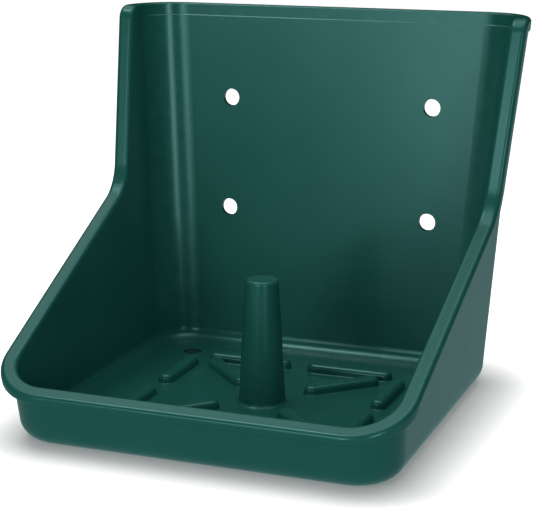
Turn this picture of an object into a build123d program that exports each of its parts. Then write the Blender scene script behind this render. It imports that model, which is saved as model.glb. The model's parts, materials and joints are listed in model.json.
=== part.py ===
"""Wall-mounted salt block holder in moulded plastic.

Frame: +X right, +Y to the back, +Z up, front facing -Y, origin at the centre of the base.
Millimetres. The real object is one injection moulding, so the nodes below are its functional
features, cut from one body at flat faces and touching face to face.
"""
import math
import os

from build123d import *

os.makedirs("parts", exist_ok=True)

# ---- overall size ------------------------------------------------------------------------
RIM_WIDTH = 235.0        # across the rim at the top of the wings
HEIGHT = 201.0           # base to the top edge of the back panel
FRONT_Y = -110.4         # outermost line of the front rim
BACK_TOP_Y = 108.4       # outer face of the back panel at the top edge
WALL = 3.3               # wall and floor thickness

# ---- draft of the walls (millimetres of run per millimetre of height) ----------------------
SIDE_DRAFT = 0.060
BACK_DRAFT = 0.067
FRONT_DRAFT = 0.133

# ---- plan corner radii of the tub's outer face ---------------------------------------------
FRONT_CORNER = 24.0
BACK_CORNER = 24.0

# ---- bottom edge and floor -----------------------------------------------------------------
BASE_ROUND = 11.5        # outer rounding where walls meet the floor
FLOOR_FILLET = 7.0       # inner rounding where walls meet the floor
PAN_TOP = 14.0           # the floor pan ends here and the upright walls begin

# ---- free edge seen from the side, as (y, z) corners with their blend radii -----------------
WING_TOP_Y = 73.3        # front edge of the wings at the top
WING_LEAN = 0.255        # forward run of the wing edge per millimetre of drop
BEND_Z = 102.9           # where the wing edge turns into the slope
SLOPE_RUN = 2.168        # forward run of the slope per millimetre of drop
RIM_FRONT_Z = 29.9       # height of the front rim's outer line
FRONT_TILT = 20.0        # degrees the front rim's face tips forward
TOP_CORNER_R = 9.0
BEND_R = 26.0
NOSE_R = 20.0

# ---- rim -----------------------------------------------------------------------------------
RIM_OVERHANG = 5.6       # beyond the outer face of the wall
RIM_BACK_PROUD = 2.0     # the same behind the back panel
RIM_DEPTH_TOP = 7.1      # turned-down face along the top
RIM_DEPTH_WING = 7.4     # along the wings
RIM_DEPTH_SLOPE = 6.4    # along the slopes
RIM_DEPTH_FRONT = 4.3    # along the front
RIM_ROUND = 2.5          # outer top edge
RIM_INNER_ROUND = 2.2    # inner top edge
RIM_LOWER_ROUND = 0.7    # lower outer edge
BAND_FROM_Y = 84.0       # the band runs round the back from here
BAND_STEP = 0.4          # the inside steps out by this much in the top band

# ---- wall screw holes ------------------------------------------------------------------------
HOLE_DIA = 9.8
HOLE_PITCH_X = 120.0
HOLE_PITCH_Z = 64.0
HOLE_MID_Z = 115.8

# ---- peg for the block -----------------------------------------------------------------------
PEG_Y = -4.3
PEG_TOP_Z = 70.3
PEG_TOP_R = 8.8
PEG_BASE_R = 12.5
PEG_TOP_ROUND = 2.0
PEG_FOOT_FILLET = 2.0

# ---- floor ribs ------------------------------------------------------------------------------
RIB_HALF_WIDTH = 4.3     # at the floor
RIB_HEIGHT = 4.8
RIB_DRAFT = 5.0          # degrees that a rib's sides lean in
RIB_ROUND = 2.9          # top edges
RIB_FOOT = 0.6           # little fillet where a rib meets the floor
SIDE_RIB_X = 61.0
SIDE_RIB_FROM = 7.0
SIDE_RIB_TO = 50.0
CROSS_RIB_Y = 58.0
CROSS_RIB_FROM = 5.0
CROSS_RIB_TO = 54.5
DIAGONAL_FROM = 17.5
DIAGONAL_TO = 49.0

# ---- drain holes -----------------------------------------------------------------------------
DRAIN_DIA = 10.0
DRAIN_X = 70.0
DRAIN_Y = 63.6

# ---- derived ---------------------------------------------------------------------------------
FAR = 400.0              # beyond every face of the object
OVERRUN = 2.0            # how far the tub solids run past the top edge
RUNOUT = 60.0            # how far the free edge's line runs out past the front
BORE = 60.0              # length of the cylinders that cut the holes
LEAST_BLEND = 1.5        # of a corner of the free edge
NOSE_MARGIN = 2.0        # the front nodes end this far behind the front corners
TILT = math.tan(math.radians(FRONT_TILT))
BEND_Y = WING_TOP_Y - WING_LEAN * (HEIGHT - BEND_Z)
BACK_CUT_Y = 60.0        # the back panel lies behind this plane
RIM_CUT_Y = 45.5         # the slope rims end and the wing rims begin
PANEL_HALF = RIM_WIDTH / 2 - RIM_OVERHANG - SIDE_DRAFT * (HEIGHT - PAN_TOP) - BACK_CORNER
NOSE_CUT_Y = FRONT_Y + RIM_OVERHANG + FRONT_CORNER + NOSE_MARGIN


def side_x(z, offset=0.0):
    """Half width of the tub's outer face at height z."""
    return RIM_WIDTH / 2 - RIM_OVERHANG - SIDE_DRAFT * (HEIGHT - z) + offset


def front_y(z, offset=0.0):
    """Outer face of the front wall at height z."""
    return FRONT_Y + RIM_OVERHANG - FRONT_DRAFT * (z - RIM_FRONT_Z) - offset


def back_y(z, offset=0.0):
    """Outer face of the back panel at height z."""
    return BACK_TOP_Y - BACK_DRAFT * (HEIGHT - z) + offset


def plan(z, side, front, back):
    """Rounded outline of the tub at height z, grown by the three offsets."""
    x = side_x(z, side)
    y0 = front_y(z, front)
    y1 = back_y(z, back)
    outline = Polyline((-x, y0), (x, y0), (x, y1), (-x, y1), close=True)
    face = make_face(outline)
    corners = face.vertices().sort_by(Axis.Y)
    face = fillet(corners[:2], FRONT_CORNER + front)
    corners = [v for v in face.vertices() if v.Y > y1 - 0.01]
    face = fillet(corners, BACK_CORNER + side)
    return Pos(0, 0, z) * face


def tub(z0, z1, side, front, back):
    """Drafted tub solid between two heights."""
    return loft([plan(z0, side, front, back), plan(z1, side, front, back)], ruled=True)


def bottom_edges(body, z):
    """Closed loop of edges that lies in the plane at height z."""
    found = []
    for edge in body.edges():
        box = edge.bounding_box()
        if abs(box.min.Z - z) < 1e-3 and abs(box.max.Z - z) < 1e-3:
            found.append(edge)
    return found


def shifted(p, q, depth):
    """The line p-q moved by depth towards the inside of the moulding."""
    dy = q[0] - p[0]
    dz = q[1] - p[1]
    length = math.hypot(dy, dz)
    ny = -dz / length
    nz = dy / length
    return (p[0] + ny * depth, p[1] + nz * depth), (q[0] + ny * depth, q[1] + nz * depth)


def crossing(a, b):
    """Where two lines, each given by two points, meet."""
    (x1, y1), (x2, y2) = a
    (x3, y3), (x4, y4) = b
    den = (x1 - x2) * (y3 - y4) - (y1 - y2) * (x3 - x4)
    u = x1 * y2 - y1 * x2
    v = x3 * y4 - y3 * x4
    return (u * (x3 - x4) - (x1 - x2) * v) / den, (u * (y3 - y4) - (y1 - y2) * v) / den


def above_edge(top=0.0, wing=0.0, slope=0.0, front=0.0):
    """Everything above the free edge, each stretch of it lowered by its depth, as a prism along X."""
    nose_y = (FRONT_Y * TILT + BEND_Z - RIM_FRONT_Z - BEND_Y / SLOPE_RUN) / (TILT - 1 / SLOPE_RUN)
    nose_z = RIM_FRONT_Z + TILT * (nose_y - FRONT_Y)
    end = (FRONT_Y - RUNOUT, RIM_FRONT_Z - RUNOUT * TILT)
    points = [(FAR, HEIGHT), (WING_TOP_Y, HEIGHT), (BEND_Y, BEND_Z), (nose_y, nose_z), end]
    depths = (top, wing, slope, front)
    lines = [shifted(points[i + 1], points[i], -depths[i]) for i in range(4)]
    corners = [lines[0][1]]
    for i in range(3):
        corners.append(crossing(lines[i], lines[i + 1]))
    corners.append(lines[3][0])
    ring = corners + [(end[0], FAR), (FAR, FAR)]
    face = make_face(Polyline(*ring, close=True))
    radii = [max(TOP_CORNER_R - wing, LEAST_BLEND), BEND_R + slope, NOSE_R + front]
    for corner, radius in zip(corners[1:4], radii):
        close_by = [v for v in face.vertices() if math.hypot(v.X - corner[0], v.Y - corner[1]) < 1e-3]
        face = fillet(close_by, radius)
    return extrude(Plane.YZ * face, amount=FAR / 2, both=True)


def block(x0, x1, y0, y1, z0, z1):
    """Axis-aligned box between the given limits."""
    return Pos((x0 + x1) / 2, (y0 + y1) / 2, (z0 + z1) / 2) * Box(x1 - x0, y1 - y0, z1 - z0)


def single(shape, name):
    """The one solid in a shape; anything else is a modelling mistake."""
    solids = shape.solids()
    if len(solids) != 1:
        raise ValueError(f"{name}: {len(solids)} solids")
    return solids[0]


def save(shape, name):
    """Write one node."""
    solid = single(shape, name)
    solid.label = name
    export_step(solid, f"parts/{name}.step")


# ---- tub body ---------------------------------------------------------------------------------
outer = tub(0.0, HEIGHT + OVERRUN, 0.0, 0.0, 0.0)
outer = fillet(bottom_edges(outer, 0.0), BASE_ROUND)

cavity = tub(WALL, HEIGHT + 2 * OVERRUN, -WALL, -WALL, -WALL)
cavity = fillet(bottom_edges(cavity, WALL), FLOOR_FILLET)

band_z = HEIGHT - RIM_DEPTH_TOP
band_grow = BAND_STEP - WALL
band = loft(
    [
        plan(band_z, -WALL, -WALL, -WALL),
        plan(band_z + BAND_STEP, band_grow, -WALL, band_grow),
        plan(HEIGHT + 2 * OVERRUN, band_grow, -WALL, band_grow),
    ],
    ruled=True,
)

above = above_edge()
below_rim = above_edge(RIM_DEPTH_TOP, RIM_DEPTH_WING, RIM_DEPTH_SLOPE, RIM_DEPTH_FRONT)

shell = outer - cavity - above

# ---- rim --------------------------------------------------------------------------------------
collar = tub(0.0, HEIGHT + OVERRUN, RIM_OVERHANG, RIM_OVERHANG, RIM_BACK_PROUD)
rim = (collar & below_rim) - above - cavity


def near(shape, spot):
    """True where a point lies on a shape."""
    return shape.distance_to(Vertex(spot.X, spot.Y, spot.Z)) < 0.02


def rim_edges(faces_a, faces_b):
    """Edges of the rim that run along both of two sets of faces."""
    found = []
    for edge in rim.edges():
        spots = [edge.position_at(t) for t in (0.2, 0.5, 0.8)]
        if all(near(faces_a, p) and near(faces_b, p) for p in spots):
            found.append(edge)
    return found


top_faces = Compound(above.faces())
low_faces = Compound(below_rim.faces())
outer_faces = Compound(collar.faces())
inner_faces = Compound(cavity.faces())

outer_loop = rim_edges(top_faces, outer_faces)
rim = fillet(outer_loop, RIM_ROUND)
inner_loop = rim_edges(top_faces, inner_faces)
rim = fillet(inner_loop, RIM_INNER_ROUND)
lower_loop = rim_edges(low_faces, outer_faces)
rim = fillet(lower_loop, RIM_LOWER_ROUND)
rim -= band & block(-FAR, FAR, BAND_FROM_Y, FAR, 0, FAR)

# ---- walls below the rim ----------------------------------------------------------------------
walls = shell - below_rim
for sx in (-1, 1):
    for sz in (-1, 1):
        spot = Pos(sx * HOLE_PITCH_X / 2, BACK_TOP_Y, HOLE_MID_Z + sz * HOLE_PITCH_Z / 2)
        walls -= spot * Rot(90, 0, 0) * Cylinder(HOLE_DIA / 2, BORE)
for sx in (-1, 1):
    walls -= Pos(sx * DRAIN_X, DRAIN_Y, 0) * Cylinder(DRAIN_DIA / 2, BORE)

# ---- nodes: one body, parted at flat faces ------------------------------------------------------
middle = block(-PANEL_HALF, PANEL_HALF, BACK_CUT_Y, FAR, 0, FAR)
nose = block(-FAR, FAR, -FAR, NOSE_CUT_Y, -1, FAR)
foot = block(-FAR, FAR, -FAR, FAR, -1, PAN_TOP)
upright = walls - foot

save(walls & foot, "floor_pan")
save(upright & middle, "back_panel")
save(upright & nose, "front_wall")
save(rim & nose, "rim_front")
save(rim & middle, "rim_back")
for side, sign in (("left", -1), ("right", 1)):
    half = block(min(0, sign * FAR), max(0, sign * FAR), NOSE_CUT_Y, FAR, -1, FAR) - middle
    slope = block(-FAR, FAR, -FAR, RIM_CUT_Y, -1, FAR)
    save(upright & half, f"side_wall_{side}")
    save((rim & half) & slope, f"rim_slope_{side}")
    save((rim & half) - slope, f"rim_wing_{side}")

# ---- peg ----------------------------------------------------------------------------------------
lean = math.atan((PEG_BASE_R - PEG_TOP_R) / (PEG_TOP_Z - WALL))


def peg_section():
    """Half section of the peg in X-Z: a taper with a rounded top and a filleted foot."""
    turn = math.pi / 2 - lean
    foot_run = PEG_FOOT_FILLET * math.tan(turn / 2)
    foot_out = (PEG_BASE_R + foot_run, WALL)
    foot_up = (PEG_BASE_R - foot_run * math.sin(lean), WALL + foot_run * math.cos(lean))
    foot_mid = fillet_mid(foot_out, foot_up, (foot_out[0], WALL + PEG_FOOT_FILLET), PEG_FOOT_FILLET)
    cap = (math.pi / 2 + lean) / 2
    cap_run = PEG_TOP_ROUND / math.tan(math.pi / 2 - cap + lean)
    top_in = (PEG_TOP_R - cap_run, PEG_TOP_Z)
    top_down = (PEG_TOP_R + cap_run * math.sin(lean), PEG_TOP_Z - cap_run * math.cos(lean))
    centre = (top_in[0], PEG_TOP_Z - PEG_TOP_ROUND)
    top_mid = fillet_mid(top_in, top_down, centre, PEG_TOP_ROUND)
    edges = [
        Line((0, WALL), foot_out),
        ThreePointArc(foot_out, foot_mid, foot_up),
        Line(foot_up, top_down),
        ThreePointArc(top_down, top_mid, top_in),
        Line(top_in, (0, PEG_TOP_Z)),
        Line((0, PEG_TOP_Z), (0, WALL)),
    ]
    return make_face(Wire(edges))


def fillet_mid(p, q, centre, radius):
    """Point halfway along the short arc from p to q about a centre."""
    mx = (p[0] + q[0]) / 2 - centre[0]
    mz = (p[1] + q[1]) / 2 - centre[1]
    length = math.hypot(mx, mz)
    return centre[0] + mx / length * radius, centre[1] + mz / length * radius


peg = revolve(Plane.XZ * peg_section(), Axis.Z)
save(Pos(0, PEG_Y, 0) * peg, "salt_block_peg")

# ---- floor ribs -----------------------------------------------------------------------------------
def rib_half():
    """Right half of a rib's section: drafted side, rounded top edge, small fillet at the floor."""
    top_x = RIB_HALF_WIDTH - RIB_HEIGHT * math.tan(math.radians(RIB_DRAFT))
    reach = RIB_HALF_WIDTH + 2 * RIB_FOOT
    sunk = -RIB_FOOT
    below = [(0, sunk), (reach, sunk), (reach, 0), (RIB_HALF_WIDTH, 0)]
    section = make_face(Polyline(*below, (top_x, RIB_HEIGHT), (0, RIB_HEIGHT), close=True))
    crest = [v for v in section.vertices() if v.X > RIB_FOOT and v.Y > RIB_HEIGHT / 2]
    section = fillet(crest, RIB_ROUND)
    foot = [v for v in section.vertices() if math.hypot(v.X - RIB_HALF_WIDTH, v.Y) < 1e-3]
    section = fillet(foot, RIB_FOOT)
    return section & (Pos(reach / 2, RIB_HEIGHT / 2) * Rectangle(reach, RIB_HEIGHT))


def rib(x0, y0, x1, y1):
    """Round-topped bar with rounded ends between two points of the floor."""
    length = math.hypot(x1 - x0, y1 - y0)
    run = length - 2 * RIB_HALF_WIDTH
    half = rib_half()
    bar = extrude(Plane.XZ * half, amount=run / 2, both=True)
    bar += mirror(bar, Plane.YZ)
    end = revolve(Plane.XZ * half, Axis.Z, 360)
    bar += Pos(0, run / 2, 0) * end
    bar += Pos(0, -run / 2, 0) * end
    angle = math.degrees(math.atan2(y1 - y0, x1 - x0)) - 90
    return Pos((x0 + x1) / 2, (y0 + y1) / 2, WALL) * Rot(0, 0, angle) * bar


ribs = {}
for side, sx in (("left", -1), ("right", 1)):
    for place, sy in (("front", -1), ("rear", 1)):
        x = sx * SIDE_RIB_X
        ribs[f"rib_side_{place}_{side}"] = (x, sy * SIDE_RIB_FROM, x, sy * SIDE_RIB_TO)
        y = sy * CROSS_RIB_Y
        ribs[f"rib_cross_{place}_{side}"] = (sx * CROSS_RIB_FROM, y, sx * CROSS_RIB_TO, y)
        a = DIAGONAL_FROM
        b = DIAGONAL_TO
        ribs[f"rib_diagonal_{place}_{side}"] = (sx * a, sy * a, sx * b, sy * b)
for name, (x0, y0, x1, y1) in ribs.items():
    save(rib(x0, y0 + PEG_Y, x1, y1 + PEG_Y), name)
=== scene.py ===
"""Looks of the wall-mounted salt block holder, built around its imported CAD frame. Metres."""
import json
import math

import bpy
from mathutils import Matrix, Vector


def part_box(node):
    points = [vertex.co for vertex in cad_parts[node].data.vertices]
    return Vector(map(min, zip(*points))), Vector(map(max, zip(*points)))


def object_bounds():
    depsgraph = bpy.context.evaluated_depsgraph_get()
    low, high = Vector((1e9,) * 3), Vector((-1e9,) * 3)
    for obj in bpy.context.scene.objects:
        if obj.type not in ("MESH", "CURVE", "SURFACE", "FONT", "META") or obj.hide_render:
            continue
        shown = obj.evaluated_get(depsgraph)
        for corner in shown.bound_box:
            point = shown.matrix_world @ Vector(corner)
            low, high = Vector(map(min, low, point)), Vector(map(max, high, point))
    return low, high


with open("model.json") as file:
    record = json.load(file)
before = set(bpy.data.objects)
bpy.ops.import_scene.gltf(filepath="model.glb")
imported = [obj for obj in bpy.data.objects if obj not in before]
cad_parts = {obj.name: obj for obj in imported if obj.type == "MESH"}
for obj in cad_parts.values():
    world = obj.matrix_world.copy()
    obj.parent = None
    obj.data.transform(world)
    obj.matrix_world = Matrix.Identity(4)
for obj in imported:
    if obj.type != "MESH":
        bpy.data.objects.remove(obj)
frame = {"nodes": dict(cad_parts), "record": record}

cad_low, cad_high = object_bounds()
CENTRE = (cad_low + cad_high) / 2

# ---- view -------------------------------------------------------------------------------------
VIEW_AZIMUTH = 20.925        # degrees, camera on the +X side of the front
VIEW_ELEVATION = 15.36
VIEW_DISTANCE = 0.8272       # from the aim point
AIM = Vector((CENTRE.x + 0.0033, CENTRE.y, cad_low.z + 0.0587))
LENS = 105.27                # millimetres
SENSOR_WIDTH = 36.0
CLIP_NEAR = 0.01
CLIP_FAR = 50.0
SHIFT_X = -0.0015
SHIFT_Y = 0.0829

# ---- plastic ----------------------------------------------------------------------------------
GREEN = (0.0165, 0.1190, 0.0970)
GREEN_DEEP = (0.0140, 0.1080, 0.0870)      # in the clouds of the pigment
GREEN_WORN = (0.0500, 0.2000, 0.1700)      # scuffs and rubbed edges
# The dark green is used for real dark specks and for the painted shade inside the drain holes.
GREEN_DARK_AND_HOLE_SHADE = (0.0030, 0.0300, 0.0240)      # specks, and inside the drain holes
GLOSS_TINT = (0.45, 1.0, 0.98)
IOR = 1.49
ROUGHNESS = 0.24
ROUGH_PATCHES = 0.015        # how far patches change the roughness
ROUGH_STREAKS = 0.012        # and flow streaks
ROUGH_WORN = 0.12            # and worn spots, which are only rougher
# Painted shade inside the drain holes: dark colour out to this radius from each hole's middle.
HOLE_SHADE_REACH = 0.0055         # metres from the middle of a drain hole
HOLE_SHADE_EDGE = 0.0004
SCUFF_STRENGTH = 0.15
EDGE_STRENGTH = 0.35

# Texture scales: features per metre.
CLOUD_SCALE = 22.0
SPECK_SCALE = 190.0
SCUFF_SPREAD = 26.0
SCUFF_STRETCH = (90.0, 90.0, 1500.0)
SCUFF_TURN = (0.5, 0.9, 0.3)               # radians
EDGE_BREAKS = 160.0
STREAK_STRETCH = (210.0, 210.0, 9.0)       # long up and down
PATCH_SCALE = 34.0
PEEL_SCALE = 1100.0
WAVE_SCALE = 45.0

# Bump heights in metres.
PEEL_HEIGHT = 0.000012
WAVE_HEIGHT = 0.0001
STREAK_HEIGHT = 0.00001
SCUFF_HEIGHT = 0.00002

# ---- studio -----------------------------------------------------------------------------------
FLOOR_RADIUS = 7.0
FLOOR_GAP = 0.0002           # between the floor and the object's base
FLOOR_GREY = 0.8
FLOOR_ROUGHNESS = 0.9
DOME_RADIUS = 1.5 * FLOOR_RADIUS
# The floor's own light is weaker towards the object's foot: painted shadow around it.
GLOW_INSIDE = 0.025          # the floor's own light starts this far inside the object's foot
GLOW_OUTSIDE = 0.034         # and is full this far outside it
GLOW_CURVE = 1.5
ROOM_TINT = (0.62, 0.98, 1.0)
HORIZON_BLEND = 0.02         # half height of the change from low to high
ROOM_LOW = 0.37              # radiance that the object sees below the horizon
ROOM_HIGH = 0.01             # and above it


def direction(azimuth, elevation):
    """Unit vector from the object towards azimuth and elevation in degrees."""
    a = math.radians(azimuth)
    e = math.radians(elevation)
    return Vector((math.sin(a) * math.cos(e), -math.cos(a) * math.cos(e), math.sin(e)))


def aimed(obj, place, target):
    """Put an object at a place with its -Z axis towards a target."""
    obj.location = place
    obj.rotation_mode = "QUATERNION"
    obj.rotation_quaternion = (target - place).to_track_quat("-Z", "Y")


def linked(obj):
    """Add an object to the scene."""
    bpy.context.scene.collection.objects.link(obj)
    return obj


# ---- node trees --------------------------------------------------------------------------------
class Nodes:
    """Short calls for building one material's node tree."""

    def __init__(self, name):
        self.material = bpy.data.materials.new(name)
        self.material.use_nodes = True
        self.tree = self.material.node_tree
        self.shader = self.tree.nodes["Principled BSDF"]
        place = self.tree.nodes.new("ShaderNodeTexCoord")
        self.place = place.outputs["Object"]

    def join(self, source, target):
        """Link two sockets."""
        self.tree.links.new(source, target)

    def mapped(self, scale, turn=(0.0, 0.0, 0.0)):
        """Object coordinates, turned and stretched."""
        node = self.tree.nodes.new("ShaderNodeMapping")
        node.inputs["Rotation"].default_value = turn
        node.inputs["Scale"].default_value = scale
        self.join(self.place, node.inputs["Vector"])
        return node.outputs["Vector"]

    def noise(self, scale, detail=3.0, roughness=0.5, vector=None):
        """Smooth noise, in object coordinates unless others are given."""
        node = self.tree.nodes.new("ShaderNodeTexNoise")
        node.inputs["Scale"].default_value = scale
        node.inputs["Detail"].default_value = detail
        node.inputs["Roughness"].default_value = roughness
        self.join(vector or self.place, node.inputs["Vector"])
        return node.outputs["Fac"]

    def cells(self, scale):
        """Distance to the nearest random point, and a random number for each point."""
        node = self.tree.nodes.new("ShaderNodeTexVoronoi")
        node.inputs["Scale"].default_value = scale
        self.join(self.place, node.inputs["Vector"])
        split = self.tree.nodes.new("ShaderNodeSeparateColor")
        self.join(node.outputs["Color"], split.inputs[0])
        return node.outputs["Distance"], split.outputs[0]

    def ramp(self, value, low, high, to_low=0.0, to_high=1.0):
        """Map a value from one range to another, held at the ends."""
        node = self.tree.nodes.new("ShaderNodeMapRange")
        node.inputs["From Min"].default_value = low
        node.inputs["From Max"].default_value = high
        node.inputs["To Min"].default_value = to_low
        node.inputs["To Max"].default_value = to_high
        self.join(value, node.inputs["Value"])
        return node.outputs["Result"]

    def combine(self, operation, a, b):
        """Math on two values, each a socket or a number."""
        node = self.tree.nodes.new("ShaderNodeMath")
        node.operation = operation
        for value, socket in ((a, node.inputs[0]), (b, node.inputs[1])):
            if isinstance(value, (int, float)):
                socket.default_value = value
            else:
                self.join(value, socket)
        return node.outputs[0]

    def vector(self, operation, a, b=None):
        """Vector math on a socket and an optional constant."""
        node = self.tree.nodes.new("ShaderNodeVectorMath")
        node.operation = operation
        self.join(a, node.inputs[0])
        if b is not None:
            node.inputs[1].default_value = b
        return node.outputs["Value" if operation == "LENGTH" else "Vector"]

    def mix(self, factor, a, b):
        """Blend two colours, each a socket or red, green and blue."""
        node = self.tree.nodes.new("ShaderNodeMix")
        node.data_type = "RGBA"
        self.join(factor, node.inputs["Factor"])
        for value, name in ((a, "A"), (b, "B")):
            socket = [s for s in node.inputs if s.name == name and s.type == "RGBA"][0]
            if isinstance(value, tuple):
                socket.default_value = (*value, 1)
            else:
                self.join(value, socket)
        return [s for s in node.outputs if s.type == "RGBA"][0]

    def bump(self, height, distance, strength, normal=None):
        """Bump map, stacked on another one if that is given."""
        node = self.tree.nodes.new("ShaderNodeBump")
        node.inputs["Distance"].default_value = distance
        node.inputs["Strength"].default_value = strength
        self.join(height, node.inputs["Height"])
        if normal is not None:
            self.join(normal, node.inputs["Normal"])
        return node.outputs["Normal"]


# ---- camera -----------------------------------------------------------------------------------
def make_camera():
    """Camera at the set view of the object."""
    data = bpy.data.cameras.new("camera")
    data.lens = LENS
    data.sensor_width = SENSOR_WIDTH
    data.shift_x = SHIFT_X
    data.shift_y = SHIFT_Y
    data.clip_start = CLIP_NEAR
    data.clip_end = CLIP_FAR
    camera = linked(bpy.data.objects.new("camera", data))
    place = AIM + direction(VIEW_AZIMUTH, VIEW_ELEVATION) * VIEW_DISTANCE
    aimed(camera, place, AIM)
    bpy.context.scene.camera = camera


# ---- studio -----------------------------------------------------------------------------------
def softbox(name, azimuth, elevation, distance, width, height, power):
    """Rectangular soft light that faces the object: degrees, metres and watts."""
    data = bpy.data.lights.new(name, "AREA")
    data.shape = "RECTANGLE"
    data.size = width
    data.size_y = height
    data.energy = power
    light = linked(bpy.data.objects.new(name, data))
    aimed(light, CENTRE + direction(azimuth, elevation) * distance, CENTRE)
    light.visible_camera = False


def make_lights():
    """Two upright strips for the corner highlights, two ceiling panels and three fills on the left."""
    softbox("strip_front", -7.2, 11.5, 1.5, 0.48, 0.80, 4.3)
    softbox("strip_right", 40.5, 8.0, 1.47, 0.31, 0.62, 3.7)
    softbox("fill_front_left", -24.0, 15.0, 1.6, 0.35, 0.5, 1.4)
    softbox("high_left", -82.0, 67.0, 1.45, 0.50, 0.38, 3.2)
    softbox("fill_back_left", -128.0, 50.0, 1.8, 0.8, 0.7, 2.0)
    softbox("ceiling", 20.0, 88.0, 1.4, 1.2, 1.2, 6.6)
    softbox("ceiling_back", 160.0, 70.0, 1.4, 1.3, 1.0, 1.8)


def make_world():
    """Cool grey room: light from below the horizon, as off a pale floor, and nearly dark above it."""
    world = bpy.data.worlds.new("studio")
    world.use_nodes = True
    nodes = world.node_tree.nodes
    links = world.node_tree.links
    background = nodes["Background"]
    background.inputs["Color"].default_value = (*ROOM_TINT, 1)
    where = nodes.new("ShaderNodeTexCoord")
    split = nodes.new("ShaderNodeSeparateXYZ")
    ramp = nodes.new("ShaderNodeMapRange")
    ramp.inputs["From Min"].default_value = -HORIZON_BLEND
    ramp.inputs["From Max"].default_value = HORIZON_BLEND
    ramp.inputs["To Min"].default_value = ROOM_LOW
    ramp.inputs["To Max"].default_value = ROOM_HIGH
    links.new(where.outputs["Generated"], split.inputs[0])
    links.new(split.outputs["Z"], ramp.inputs["Value"])
    links.new(ramp.outputs["Result"], background.inputs["Strength"])
    bpy.context.scene.world = world


def only_seen_by_camera(obj):
    """Keep a stage piece out of the object's light and reflections."""
    for sight in ("diffuse", "glossy", "transmission", "shadow", "volume_scatter"):
        setattr(obj, f"visible_{sight}", False)


def make_floor():
    """White table: it takes the object's soft shadow, and glows from just inside its foot outwards,
    weaker near the foot, which paints shadow around it.
    """
    bpy.ops.mesh.primitive_circle_add(vertices=128, radius=FLOOR_RADIUS, fill_type="NGON")
    floor = bpy.context.object
    floor.name = "floor"
    floor.location = (0, 0, cad_low.z - FLOOR_GAP)
    n = Nodes("white_floor")
    n.shader.inputs["Base Color"].default_value = (FLOOR_GREY, FLOOR_GREY, FLOOR_GREY, 1)
    n.shader.inputs["Roughness"].default_value = FLOOR_ROUGHNESS
    n.shader.inputs["Specular IOR Level"].default_value = 0.0
    n.shader.inputs["Emission Color"].default_value = (1, 1, 1, 1)
    foot_low, foot_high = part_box("floor_pan")
    middle = (foot_low + foot_high) / 2
    half = (foot_high - foot_low) / 2 - Vector((GLOW_INSIDE, GLOW_INSIDE, 0))
    side = n.vector("ABSOLUTE", n.vector("SUBTRACT", n.place, (middle.x, middle.y, 0)))
    outside = n.vector("MAXIMUM", n.vector("SUBTRACT", side, (half.x, half.y, 0)), (0, 0, 0))
    reach = n.vector("LENGTH", outside)
    # Painted shadow: the floor's glow fades to nothing towards the object's foot.
    glow_with_painted_shadow = n.combine("POWER", n.ramp(reach, 0.0, GLOW_INSIDE + GLOW_OUTSIDE), GLOW_CURVE)
    n.join(glow_with_painted_shadow, n.shader.inputs["Emission Strength"])
    floor.data.materials.append(n.material)
    only_seen_by_camera(floor)


def make_backdrop():
    """White dome behind the floor's edge."""
    bpy.ops.mesh.primitive_uv_sphere_add(segments=48, ring_count=24, radius=DOME_RADIUS)
    dome = bpy.context.object
    dome.name = "backdrop"
    n = Nodes("white_backdrop")
    n.shader.inputs["Base Color"].default_value = (0, 0, 0, 1)
    n.shader.inputs["Specular IOR Level"].default_value = 0
    n.shader.inputs["Emission Color"].default_value = (1, 1, 1, 1)
    n.shader.inputs["Emission Strength"].default_value = 1.0
    dome.data.materials.append(n.material)
    only_seen_by_camera(dome)


# ---- plastic ----------------------------------------------------------------------------------
def drain_holes():
    """Middles of the drain holes, from the record's openings."""
    for opening in frame["record"]["physics"]["openings"]:
        if opening["name"].startswith("drain_hole"):
            low, high = (Vector(corner) for corner in opening["box_m"])
            yield (low + high) / 2


def pigment_and_hole_shade(n):
    """Cloudy green with rare dark specks, and painted shade inside the drain holes."""
    cloud = n.ramp(n.noise(CLOUD_SCALE, 2.0), 0.25, 0.75)
    colour = n.mix(cloud, GREEN, GREEN_DEEP)
    distance, chance = n.cells(SPECK_SCALE)
    specks = n.combine("MULTIPLY", n.ramp(distance, 0.075, 0.045), n.ramp(chance, 0.90, 0.94))
    colour = n.mix(specks, colour, GREEN_DARK_AND_HOLE_SHADE)
    # Painted shade: each drain hole is coloured dark inside.
    for middle in drain_holes():
        offset = n.vector("SUBTRACT", n.place, (middle.x, middle.y, 0))
        radius = n.vector("LENGTH", n.vector("MULTIPLY", offset, (1, 1, 0)))
        hole_shade = n.ramp(radius, HOLE_SHADE_REACH, HOLE_SHADE_REACH - HOLE_SHADE_EDGE)
        colour = n.mix(hole_shade, colour, GREEN_DARK_AND_HOLE_SHADE)
    return colour


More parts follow.
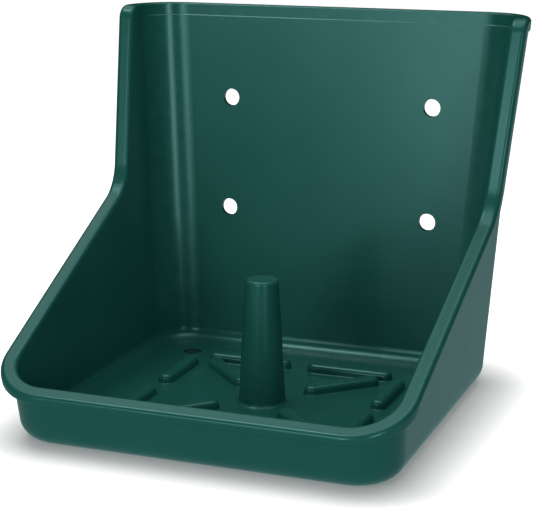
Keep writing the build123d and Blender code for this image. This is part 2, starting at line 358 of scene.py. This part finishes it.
def scuff_mask(n):
    """Fine slanting hair scratches, only in some places."""
    lines = n.noise(1.0, 2.0, 0.4, n.mapped(SCUFF_STRETCH, SCUFF_TURN))
    hair = n.ramp(lines, 0.70, 0.78)
    where = n.ramp(n.noise(SCUFF_SPREAD, 2.0), 0.58, 0.70)
    return n.combine("MULTIPLY", n.combine("MULTIPLY", hair, where), SCUFF_STRENGTH)


def edge_mask(n):
    """Rubbed spots along sharp outer edges."""
    geometry = n.tree.nodes.new("ShaderNodeNewGeometry")
    edge = n.ramp(geometry.outputs["Pointiness"], 0.60, 0.70)
    breaks = n.ramp(n.noise(EDGE_BREAKS, 3.0), 0.40, 0.62)
    return n.combine("MULTIPLY", n.combine("MULTIPLY", edge, breaks), EDGE_STRENGTH)


def green_plastic():
    """Moulded green polypropylene, nearly new."""
    n = Nodes("green_plastic")
    scuffs = scuff_mask(n)
    worn = n.combine("MAXIMUM", scuffs, edge_mask(n))
    n.join(n.mix(worn, pigment_and_hole_shade(n), GREEN_WORN), n.shader.inputs["Base Color"])

    streaks = n.noise(1.0, 3.0, 0.5, n.mapped(STREAK_STRETCH))
    patches = n.noise(PATCH_SCALE, 2.0)
    rough = n.ramp(patches, 0.25, 0.75, ROUGHNESS - ROUGH_PATCHES, ROUGHNESS + ROUGH_PATCHES)
    rough = n.combine("ADD", rough, n.ramp(streaks, 0.3, 0.7, -ROUGH_STREAKS, ROUGH_STREAKS))
    rough = n.combine("ADD", rough, n.combine("MULTIPLY", worn, ROUGH_WORN))
    n.join(rough, n.shader.inputs["Roughness"])

    normal = n.bump(n.noise(PEEL_SCALE, 2.0), PEEL_HEIGHT, 0.5)
    normal = n.bump(n.noise(WAVE_SCALE, 1.0), WAVE_HEIGHT, 0.25, normal)
    normal = n.bump(streaks, STREAK_HEIGHT, 0.5, normal)
    normal = n.bump(scuffs, SCUFF_HEIGHT, 0.4, normal)
    n.join(normal, n.shader.inputs["Normal"])

    n.shader.inputs["IOR"].default_value = IOR
    n.shader.inputs["Specular Tint"].default_value = (*GLOSS_TINT, 1)
    return n.material


def dress_nodes(material):
    """Give every CAD node the material."""
    for node in frame["nodes"].values():
        for socket in node.material_slots:
            socket.material = material


make_camera()
make_world()
make_lights()
make_floor()
make_backdrop()
dress_nodes(green_plastic())
bpy.context.scene.view_settings.view_transform = "Standard"
